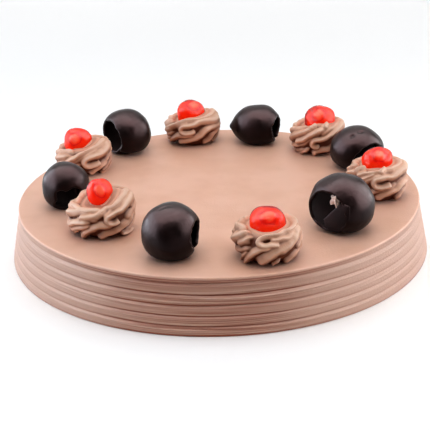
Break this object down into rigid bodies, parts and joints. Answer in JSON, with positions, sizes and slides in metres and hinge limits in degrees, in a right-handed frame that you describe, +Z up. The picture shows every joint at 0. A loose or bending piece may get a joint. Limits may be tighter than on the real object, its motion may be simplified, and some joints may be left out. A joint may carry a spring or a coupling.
{
  "type": "chocolate cream cake",
  "caption": "Low round cream cake with a combed side, topped by a ring of piped rosettes with glace cherries and hollow chocolate curls; served as a dessert.",
  "frame": {"origin": "middle of the flat underside", "axes": "+Z up out of the top of the cake; +Y away from the side that faces the picture, +X to its right"},
  "size_m": [0.253, 0.253, 0.0634],
  "materials": {
    "icing": "smooth matte chocolate cream",
    "piped_cream": "soft matte piped chocolate cream",
    "glace_cherry": "wet translucent gloss",
    "dark_chocolate": "satin dark chocolate"
  },
  "bodies": {
    "root": {"cake": "icing", "rosette_front": "piped_cream", "rosette_front_left": "piped_cream", "rosette_back_left": "piped_cream", "rosette_back": "piped_cream", "rosette_back_right": "piped_cream", "rosette_right": "piped_cream", "cherry_front": "glace_cherry", "cherry_front_left": "glace_cherry", "cherry_back_left": "glace_cherry", "cherry_back": "glace_cherry", "cherry_back_right": "glace_cherry", "cherry_right": "glace_cherry", "curl_front_left": "dark_chocolate", "curl_left": "dark_chocolate", "curl_back_left": "dark_chocolate", "curl_back_right": "dark_chocolate", "curl_right": "dark_chocolate", "curl_front_right": "dark_chocolate"}
  },
  "joints": []
}
